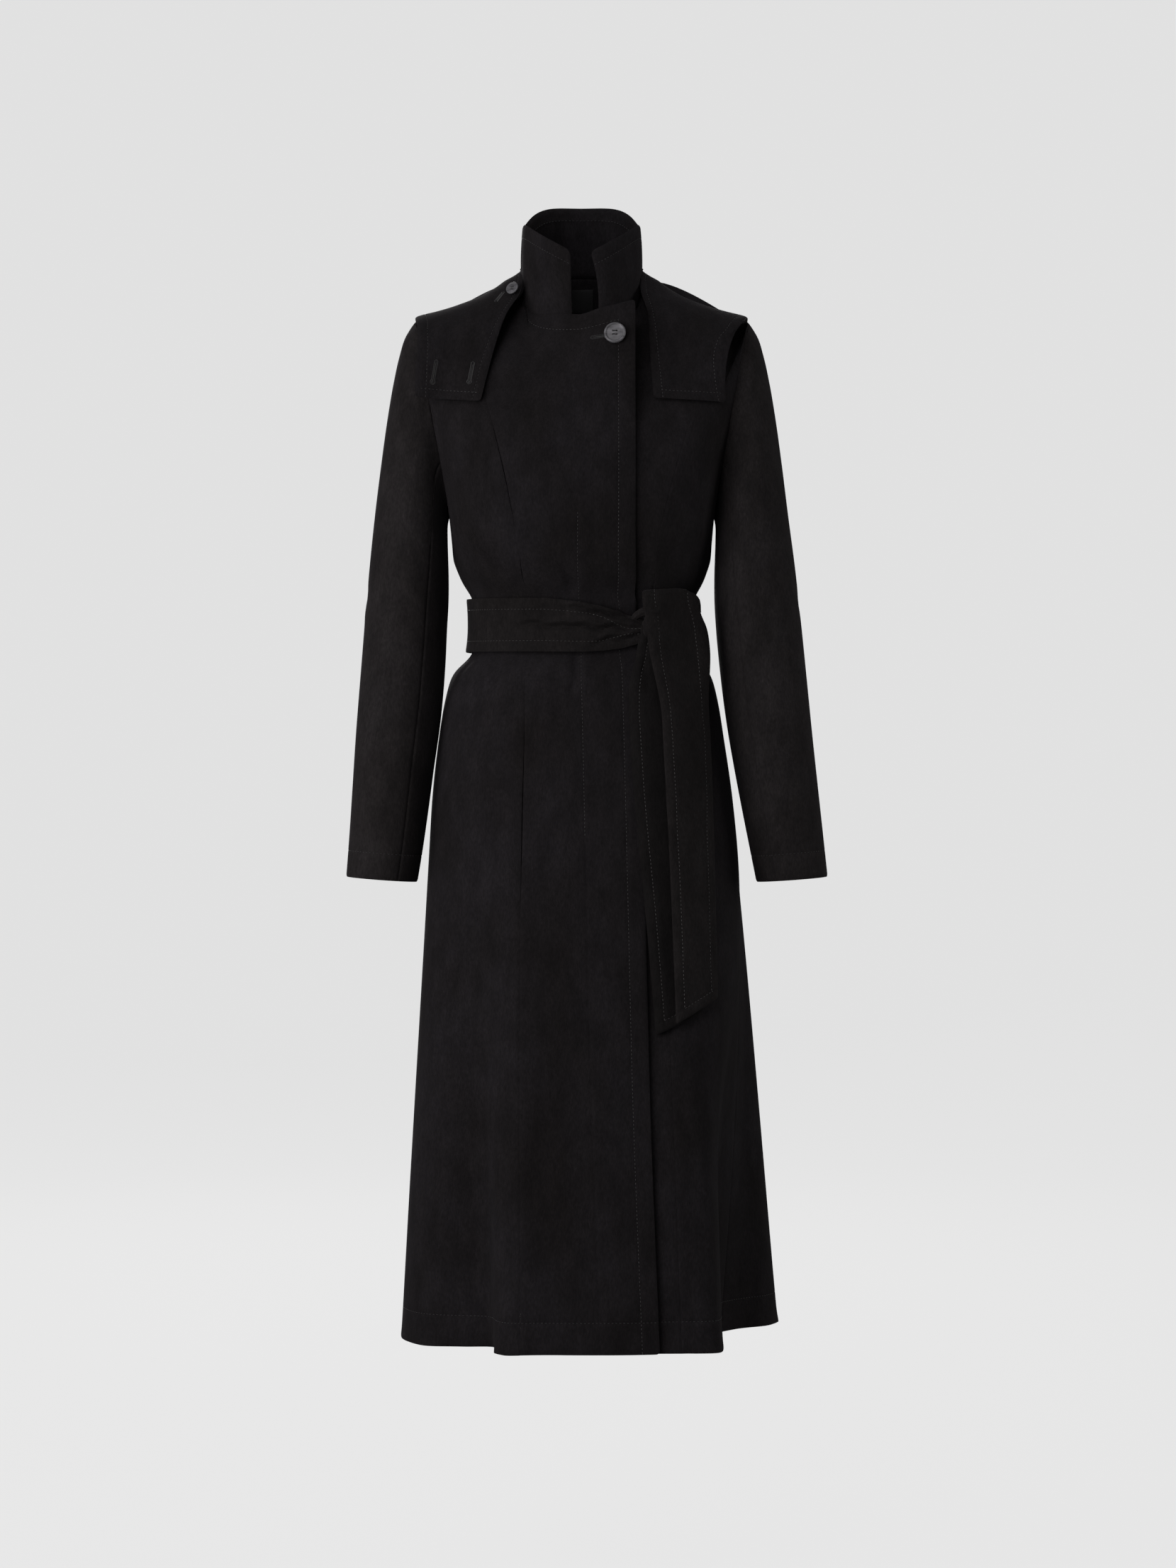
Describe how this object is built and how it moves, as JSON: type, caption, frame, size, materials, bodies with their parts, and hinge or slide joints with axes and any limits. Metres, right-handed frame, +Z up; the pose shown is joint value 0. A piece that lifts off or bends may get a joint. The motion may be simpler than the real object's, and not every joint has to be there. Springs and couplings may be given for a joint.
{
  "type": "belted wool coat",
  "caption": "Long belted wrap coat of dark wool with stand collar, set-in sleeves, tie belt and a button-on hood laid down over the shoulders; hollow, held in its worn shape.",
  "frame": {"origin": "base of the neck between the shoulder points, where the wearer's shoulders carry the coat", "axes": "+Z up, the front faces -Y, the wearer's left side lies at +X"},
  "size_m": [0.5314, 0.3454, 1.2623],
  "materials": {
    "coat_wool": "near-black brushed wool cloth, matt with a soft nap",
    "belt_wool": "near-black brushed wool cloth, doubled and topstitched",
    "button_horn": "dark grey horn look, satin",
    "label_tape": "plain black woven tape"
  },
  "bodies": {
    "root": {"back": "coat_wool", "belt_knot": "belt_wool", "belt_tail_back": "belt_wool", "belt_tail_front": "belt_wool", "belt_waist": "belt_wool", "button_collar": "button_horn", "button_front": "button_horn", "collar": "coat_wool", "hood_left": "coat_wool", "hood_right": "coat_wool", "left_front": "coat_wool", "left_side_front": "coat_wool", "left_sleeve": "coat_wool", "neck_label": "label_tape", "right_front": "coat_wool", "right_side_front": "coat_wool", "right_sleeve": "coat_wool"}
  },
  "joints": []
}
